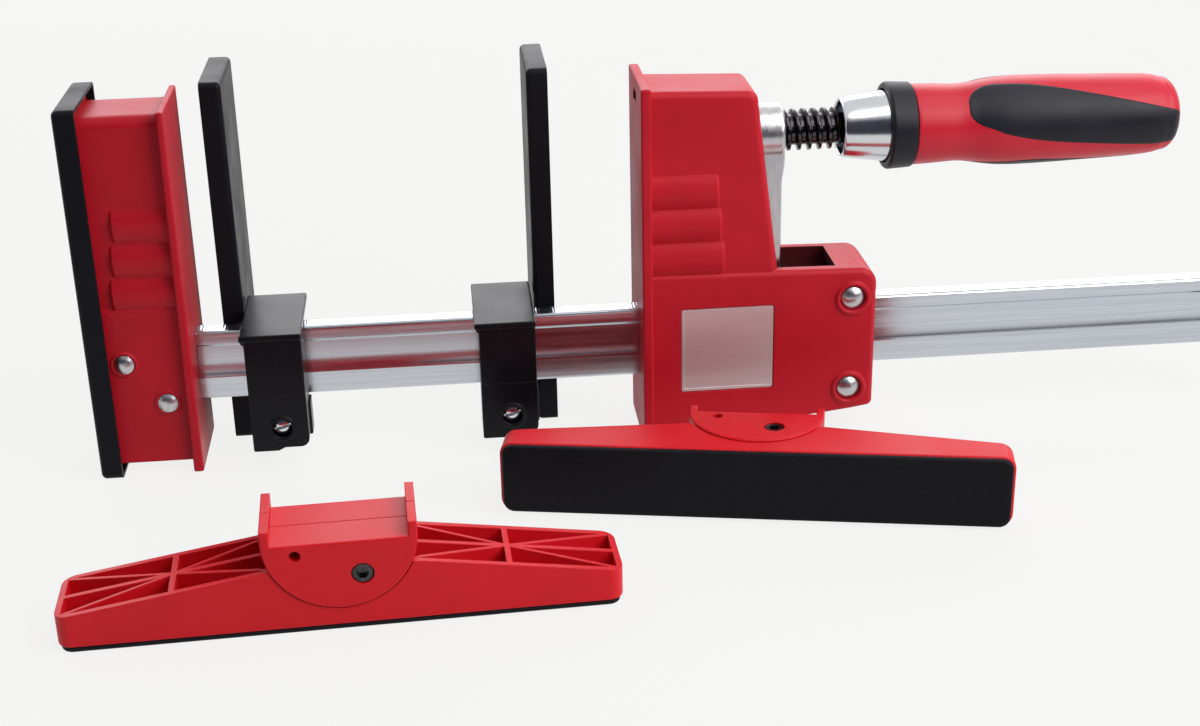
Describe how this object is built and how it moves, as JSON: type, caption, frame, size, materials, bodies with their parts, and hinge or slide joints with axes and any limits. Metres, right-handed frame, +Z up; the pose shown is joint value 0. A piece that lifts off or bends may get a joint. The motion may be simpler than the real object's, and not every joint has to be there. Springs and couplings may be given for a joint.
{
  "type": "parallel clamp",
  "caption": "Parallel clamp with deep flat jaws on a steel rail, a screw spindle with grip handle, pull-off jaw covers, rail saddles and tilting jaw adapters.",
  "frame": {"origin": "middle of the bounding box footprint at floor level", "axes": "+X along the rail from the fixed jaw towards the handle, +Y away from the viewer across the rail, +Z up"},
  "size_m": [0.4768, 0.2086, 0.151],
  "materials": {
    "red_plastic": "satin moulded",
    "black_plastic": "satin moulded",
    "soft_rubber": "matte",
    "zinc_steel": "zinc plated, satin",
    "dark_steel": "burnished, oiled",
    "chrome_steel": "polished",
    "plain_steel": "plain",
    "bare_aluminium": "brushed"
  },
  "bodies": {
    "clamp_frame": {"rail": "zinc_steel", "rail_end_clip": "black_plastic", "fixed_jaw_housing": "red_plastic", "fixed_jaw_core": "plain_steel", "fixed_jaw_rivet_upper": "plain_steel", "fixed_jaw_rivet_lower": "plain_steel"},
    "back_cover": {"fixed_jaw_back_cover": "black_plastic"},
    "cover_left": {"loose_cover_left": "black_plastic"},
    "cover_right": {"loose_cover_right": "black_plastic"},
    "saddle_left_unit": {"saddle_left": "black_plastic", "saddle_left_screw": "zinc_steel", "saddle_left_nut": "zinc_steel"},
    "saddle_right_unit": {"saddle_right": "black_plastic", "saddle_right_screw": "zinc_steel", "saddle_right_nut": "zinc_steel"},
    "arm": {"slide_arm": "zinc_steel"},
    "movable_jaw": {"movable_jaw_housing": "red_plastic", "movable_jaw_core": "plain_steel", "label_plate": "bare_aluminium", "guide_pin_upper": "plain_steel", "guide_pin_lower": "plain_steel", "guide_roller_upper": "plain_steel", "guide_roller_lower": "plain_steel", "thrust_plate": "plain_steel"},
    "spindle_unit": {"spindle": "dark_steel", "thrust_washer": "dark_steel", "ferrule": "chrome_steel", "handle_collar": "soft_rubber", "handle_body": "red_plastic", "grip_inlay_a": "soft_rubber", "grip_inlay_b": "soft_rubber", "grip_inlay_c": "soft_rubber"},
    "left_adapter": {"left_adapter_bar": "red_plastic", "left_adapter_pad": "soft_rubber"},
    "left_hub": {"left_adapter_hub_front": "red_plastic", "left_adapter_hub_back": "red_plastic", "left_adapter_screw": "dark_steel"},
    "right_adapter": {"right_adapter_bar": "red_plastic", "right_adapter_pad": "soft_rubber"},
    "right_hub": {"right_adapter_hub_front": "red_plastic", "right_adapter_hub_back": "red_plastic", "right_adapter_screw": "dark_steel"}
  },
  "joints": [
    {"name": "back_cover_pull", "type": "slide", "parent": "clamp_frame", "child": "back_cover", "axis": [-1, 0, 0], "range_m": [0, 0.012]},
    {"name": "cover_left_lift", "type": "slide", "parent": "clamp_frame", "child": "cover_left", "axis": [0, 0, 1], "range_m": [0, 0.2]},
    {"name": "cover_right_lift", "type": "slide", "parent": "clamp_frame", "child": "cover_right", "axis": [0, 0, 1], "range_m": [0, 0.2]},
    {"name": "saddle_left_slide", "type": "slide", "parent": "clamp_frame", "child": "saddle_left_unit", "axis": [1, 0, 0], "range_m": [0, 0.032]},
    {"name": "saddle_right_slide", "type": "slide", "parent": "clamp_frame", "child": "saddle_right_unit", "axis": [1, 0, 0], "range_m": [-0.032, 0]},
    {"name": "arm_slide", "type": "slide", "parent": "clamp_frame", "child": "arm", "axis": [1, 0, 0], "range_m": [-0.014, 0.146]},
    {"name": "jaw_feed", "type": "slide", "parent": "arm", "child": "movable_jaw", "axis": [1, 0, 0], "range_m": [-0.018, 0]},
    {"name": "spindle_turn", "type": "hinge", "parent": "movable_jaw", "child": "spindle_unit", "pos_m": [0.1018, 0.04829, 0.1249], "axis": [1, 0, 0], "range_deg": [-1600, 10]},
    {"name": "left_adapter_lift", "type": "slide", "parent": "clamp_frame", "child": "left_adapter", "axis": [0, 0, 1], "range_m": [0, 0.15]},
    {"name": "left_hub_swivel", "type": "hinge", "parent": "left_adapter", "child": "left_hub", "pos_m": [-0.138, -0.08621, 0.0352], "axis": [-0.0424, 0.9991, 0], "range_deg": [-15, 15]},
    {"name": "right_adapter_lift", "type": "slide", "parent": "clamp_frame", "child": "right_adapter", "axis": [0, 0, 1], "range_m": [0, 0.15]},
    {"name": "right_hub_swivel", "type": "hinge", "parent": "right_adapter", "child": "right_hub", "pos_m": [0.01933, -0.00924, 0.015], "axis": [0, 0, 1], "range_deg": [-15, 15]}
  ],
  "couplings": [
    {"joint": "spindle_turn", "follows": "jaw_feed", "rad_per_m": 1532.5}
  ]
}
